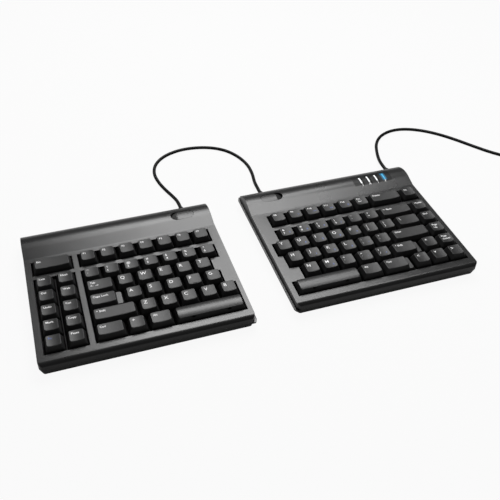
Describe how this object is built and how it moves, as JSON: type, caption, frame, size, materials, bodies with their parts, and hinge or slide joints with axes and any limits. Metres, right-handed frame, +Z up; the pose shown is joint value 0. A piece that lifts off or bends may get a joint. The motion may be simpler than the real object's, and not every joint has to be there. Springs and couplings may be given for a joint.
{
  "type": "ergonomic split keyboard",
  "caption": "Low split keyboard in two linked halves, with dished keys, a sloped front lip, a raised back brow, an indicator panel, release buttons and a cord with a plug.",
  "frame": {"origin": "centre of the box of the two halves, on the desk under their rubber feet", "axes": "+X from the left half to the right half, +Y to the back, +Z up from the desk"},
  "size_m": [0.6244, 0.304, 0.022],
  "materials": {
    "upper_case": "fine textured black plastic with a soft sheen",
    "lower_case": "textured black plastic",
    "key_plastic": "fine matte black plastic with printed white legends",
    "button_plastic": "satin black plastic",
    "panel_plastic": "satin dark plastic with clear light windows",
    "inner_plastic": "plain moulded black plastic",
    "dome_rubber": "pale silicone rubber",
    "membrane_film": "printed polyester film",
    "steel_plate": "plain pressed steel",
    "screw_steel": "dark plated steel",
    "wire_steel": "bright spring steel wire",
    "foot_rubber": "soft black rubber",
    "circuit_board": "green coated circuit board",
    "cord_rubber": "smooth black cord jacket",
    "plug_shell": "bright pressed steel"
  },
  "bodies": {
    "right_half": {"right_top_case": "upper_case", "right_bottom_case": "lower_case", "right_key_frame": "inner_plastic", "right_dome_sheet": "dome_rubber", "right_membrane": "membrane_film", "right_backplate": "steel_plate", "right_screws": "screw_steel", "right_feet": "foot_rubber", "right_strain_relief": "cord_rubber", "usb_strain_relief": "cord_rubber", "controller_board": "circuit_board", "indicator_panel": "panel_plastic", "link_cord": "cord_rubber", "usb_cord": "cord_rubber", "usb_coil": "cord_rubber", "usb_plug": "cord_rubber", "usb_plug_shell": "plug_shell"},
    "left_half": {"left_top_case": "upper_case", "left_bottom_case": "lower_case", "left_key_frame": "inner_plastic", "left_dome_sheet": "dome_rubber", "left_membrane": "membrane_film", "left_backplate": "steel_plate", "left_screws": "screw_steel", "left_feet": "foot_rubber", "left_strain_relief": "cord_rubber", "left_link_board": "circuit_board"},
    "esc_key": {"esc_key": "key_plastic"},
    "fn_key": {"fn_key": "key_plastic"},
    "tab_key": {"tab_key": "key_plastic"},
    "caps_lock_key": {"caps_lock_key": "key_plastic"},
    "left_shift_key": {"left_shift_key": "key_plastic"},
    "left_ctrl_key": {"left_ctrl_key": "key_plastic"},
    "left_system_key": {"left_system_key": "key_plastic"},
    "left_alt_key": {"left_alt_key": "key_plastic"},
    "left_space_bar": {"left_space_bar": "key_plastic"},
    "left_function_keys": {"left_function_keys": "key_plastic"},
    "left_number_keys": {"left_number_keys": "key_plastic"},
    "left_upper_letter_keys": {"left_upper_letter_keys": "key_plastic"},
    "left_home_letter_keys": {"left_home_letter_keys": "key_plastic"},
    "left_lower_letter_keys": {"left_lower_letter_keys": "key_plastic"},
    "left_hot_keys": {"left_hot_keys": "key_plastic"},
    "delete_key": {"delete_key": "key_plastic"},
    "backspace_key": {"backspace_key": "key_plastic"},
    "enter_key": {"enter_key": "key_plastic"},
    "right_shift_key": {"right_shift_key": "key_plastic"},
    "right_space_bar": {"right_space_bar": "key_plastic"},
    "right_alt_key": {"right_alt_key": "key_plastic"},
    "right_ctrl_key": {"right_ctrl_key": "key_plastic"},
    "right_function_keys": {"right_function_keys": "key_plastic"},
    "right_number_keys": {"right_number_keys": "key_plastic"},
    "right_upper_letter_keys": {"right_upper_letter_keys": "key_plastic"},
    "right_home_letter_keys": {"right_home_letter_keys": "key_plastic"},
    "right_lower_letter_keys": {"right_lower_letter_keys": "key_plastic"},
    "navigation_keys": {"navigation_keys": "key_plastic"},
    "arrow_keys": {"arrow_keys": "key_plastic"},
    "left_space_wire": {"left_space_wire": "wire_steel"},
    "left_release_button": {"left_release_button": "button_plastic"},
    "right_space_wire": {"right_space_wire": "wire_steel"},
    "right_release_button": {"right_release_button": "button_plastic"}
  },
  "joints": [
    {"name": "separation", "type": "slide", "parent": "right_half", "child": "left_half", "axis": [1, 0, 0], "range_m": [-0.14, 0.037], "deforming": ["link_cord"]},
    {"name": "esc_key_press", "type": "slide", "parent": "left_half", "child": "esc_key", "axis": [0, 0, -1], "range_m": [0, 0.0033], "stiffness_N_per_m": 160, "springref_m": -0.001, "deforming": ["left_dome_sheet"]},
    {"name": "fn_key_press", "type": "slide", "parent": "left_half", "child": "fn_key", "axis": [0, 0, -1], "range_m": [0, 0.0033], "stiffness_N_per_m": 160, "springref_m": -0.001, "deforming": ["left_dome_sheet"]},
    {"name": "tab_key_press", "type": "slide", "parent": "left_half", "child": "tab_key", "axis": [0, 0, -1], "range_m": [0, 0.0033], "stiffness_N_per_m": 160, "springref_m": -0.001, "deforming": ["left_dome_sheet"]},
    {"name": "caps_lock_key_press", "type": "slide", "parent": "left_half", "child": "caps_lock_key", "axis": [0, 0, -1], "range_m": [0, 0.0033], "stiffness_N_per_m": 160, "springref_m": -0.001, "deforming": ["left_dome_sheet"]},
    {"name": "left_shift_key_press", "type": "slide", "parent": "left_half", "child": "left_shift_key", "axis": [0, 0, -1], "range_m": [0, 0.0033], "stiffness_N_per_m": 160, "springref_m": -0.001, "deforming": ["left_dome_sheet"]},
    {"name": "left_ctrl_key_press", "type": "slide", "parent": "left_half", "child": "left_ctrl_key", "axis": [0, 0, -1], "range_m": [0, 0.0033], "stiffness_N_per_m": 160, "springref_m": -0.001, "deforming": ["left_dome_sheet"]},
    {"name": "left_system_key_press", "type": "slide", "parent": "left_half", "child": "left_system_key", "axis": [0, 0, -1], "range_m": [0, 0.0033], "stiffness_N_per_m": 160, "springref_m": -0.001, "deforming": ["left_dome_sheet"]},
    {"name": "left_alt_key_press", "type": "slide", "parent": "left_half", "child": "left_alt_key", "axis": [0, 0, -1], "range_m": [0, 0.0033], "stiffness_N_per_m": 160, "springref_m": -0.001, "deforming": ["left_dome_sheet"]},
    {"name": "left_space_bar_press", "type": "slide", "parent": "left_half", "child": "left_space_bar", "axis": [0, 0, -1], "range_m": [0, 0.0033], "stiffness_N_per_m": 160, "springref_m": -0.001, "deforming": ["left_dome_sheet"]},
    {"name": "left_function_keys_press", "type": "slide", "parent": "left_half", "child": "left_function_keys", "axis": [0, 0, -1], "range_m": [0, 0.0033], "stiffness_N_per_m": 1120, "springref_m": -0.001, "deforming": ["left_dome_sheet"]},
    {"name": "left_number_keys_press", "type": "slide", "parent": "left_half", "child": "left_number_keys", "axis": [0, 0, -1], "range_m": [0, 0.0033], "stiffness_N_per_m": 1120, "springref_m": -0.001, "deforming": ["left_dome_sheet"]},
    {"name": "left_upper_letter_keys_press", "type": "slide", "parent": "left_half", "child": "left_upper_letter_keys", "axis": [0, 0, -1], "range_m": [0, 0.0033], "stiffness_N_per_m": 800, "springref_m": -0.001, "deforming": ["left_dome_sheet"]},
    {"name": "left_home_letter_keys_press", "type": "slide", "parent": "left_half", "child": "left_home_letter_keys", "axis": [0, 0, -1], "range_m": [0, 0.0033], "stiffness_N_per_m": 800, "springref_m": -0.001, "deforming": ["left_dome_sheet"]},
    {"name": "left_lower_letter_keys_press", "type": "slide", "parent": "left_half", "child": "left_lower_letter_keys", "axis": [0, 0, -1], "range_m": [0, 0.0033], "stiffness_N_per_m": 800, "springref_m": -0.001, "deforming": ["left_dome_sheet"]},
    {"name": "left_hot_keys_press", "type": "slide", "parent": "left_half", "child": "left_hot_keys", "axis": [0, 0, -1], "range_m": [0, 0.0033], "stiffness_N_per_m": 1440, "springref_m": -0.001, "deforming": ["left_dome_sheet"]},
    {"name": "delete_key_press", "type": "slide", "parent": "right_half", "child": "delete_key", "axis": [0, 0, -1], "range_m": [0, 0.0033], "stiffness_N_per_m": 160, "springref_m": -0.001, "deforming": ["right_dome_sheet"]},
    {"name": "backspace_key_press", "type": "slide", "parent": "right_half", "child": "backspace_key", "axis": [0, 0, -1], "range_m": [0, 0.0033], "stiffness_N_per_m": 160, "springref_m": -0.001, "deforming": ["right_dome_sheet"]},
    {"name": "enter_key_press", "type": "slide", "parent": "right_half", "child": "enter_key", "axis": [0, 0, -1], "range_m": [0, 0.0033], "stiffness_N_per_m": 160, "springref_m": -0.001, "deforming": ["right_dome_sheet"]},
    {"name": "right_shift_key_press", "type": "slide", "parent": "right_half", "child": "right_shift_key", "axis": [0, 0, -1], "range_m": [0, 0.0033], "stiffness_N_per_m": 160, "springref_m": -0.001, "deforming": ["right_dome_sheet"]},
    {"name": "right_space_bar_press", "type": "slide", "parent": "right_half", "child": "right_space_bar", "axis": [0, 0, -1], "range_m": [0, 0.0033], "stiffness_N_per_m": 160, "springref_m": -0.001, "deforming": ["right_dome_sheet"]},
    {"name": "right_alt_key_press", "type": "slide", "parent": "right_half", "child": "right_alt_key", "axis": [0, 0, -1], "range_m": [0, 0.0033], "stiffness_N_per_m": 160, "springref_m": -0.001, "deforming": ["right_dome_sheet"]},
    {"name": "right_ctrl_key_press", "type": "slide", "parent": "right_half", "child": "right_ctrl_key", "axis": [0, 0, -1], "range_m": [0, 0.0033], "stiffness_N_per_m": 160, "springref_m": -0.001, "deforming": ["right_dome_sheet"]},
    {"name": "right_function_keys_press", "type": "slide", "parent": "right_half", "child": "right_function_keys", "axis": [0, 0, -1], "range_m": [0, 0.0033], "stiffness_N_per_m": 1120, "springref_m": -0.001, "deforming": ["right_dome_sheet"]},
    {"name": "right_number_keys_press", "type": "slide", "parent": "right_half", "child": "right_number_keys", "axis": [0, 0, -1], "range_m": [0, 0.0033], "stiffness_N_per_m": 960, "springref_m": -0.001, "deforming": ["right_dome_sheet"]},
    {"name": "right_upper_letter_keys_press", "type": "slide", "parent": "right_half", "child": "right_upper_letter_keys", "axis": [0, 0, -1], "range_m": [0, 0.0033], "stiffness_N_per_m": 1280, "springref_m": -0.001, "deforming": ["right_dome_sheet"]},
    {"name": "right_home_letter_keys_press", "type": "slide", "parent": "right_half", "child": "right_home_letter_keys", "axis": [0, 0, -1], "range_m": [0, 0.0033], "stiffness_N_per_m": 960, "springref_m": -0.001, "deforming": ["right_dome_sheet"]},
    {"name": "right_lower_letter_keys_press", "type": "slide", "parent": "right_half", "child": "right_lower_letter_keys", "axis": [0, 0, -1], "range_m": [0, 0.0033], "stiffness_N_per_m": 800, "springref_m": -0.001, "deforming": ["right_dome_sheet"]},
    {"name": "navigation_keys_press", "type": "slide", "parent": "right_half", "child": "navigation_keys", "axis": [0, 0, -1], "range_m": [0, 0.0033], "stiffness_N_per_m": 640, "springref_m": -0.001, "deforming": ["right_dome_sheet"]},
    {"name": "arrow_keys_press", "type": "slide", "parent": "right_half", "child": "arrow_keys", "axis": [0, 0, -1], "range_m": [0, 0.0033], "stiffness_N_per_m": 640, "springref_m": -0.001, "deforming": ["right_dome_sheet"]},
    {"name": "left_space_wire_turn", "type": "hinge", "parent": "left_half", "child": "left_space_wire", "pos_m": [-0.05775, -0.06783, 0.01315], "axis": [1, 0, 0], "range_deg": [0, 23.9]},
    {"name": "left_release_button_press", "type": "slide", "parent": "left_half", "child": "left_release_button", "axis": [0, 0, -1], "range_m": [0, 0.002], "stiffness_N_per_m": 500, "springref_m": -0.001},
    {"name": "right_space_wire_turn", "type": "hinge", "parent": "right_half", "child": "right_space_wire", "pos_m": [0.06033, -0.06633, 0.01315], "axis": [1, 0, 0], "range_deg": [0, 23.9]},
    {"name": "right_release_button_press", "type": "slide", "parent": "right_half", "child": "right_release_button", "axis": [0, 0, -1], "range_m": [0, 0.002], "stiffness_N_per_m": 500, "springref_m": -0.001}
  ],
  "couplings": [
    {"joint": "left_space_wire_turn", "follows": "left_space_bar_press", "rad_per_m": 125.9},
    {"joint": "right_space_wire_turn", "follows": "right_space_bar_press", "rad_per_m": 125.9}
  ]
}
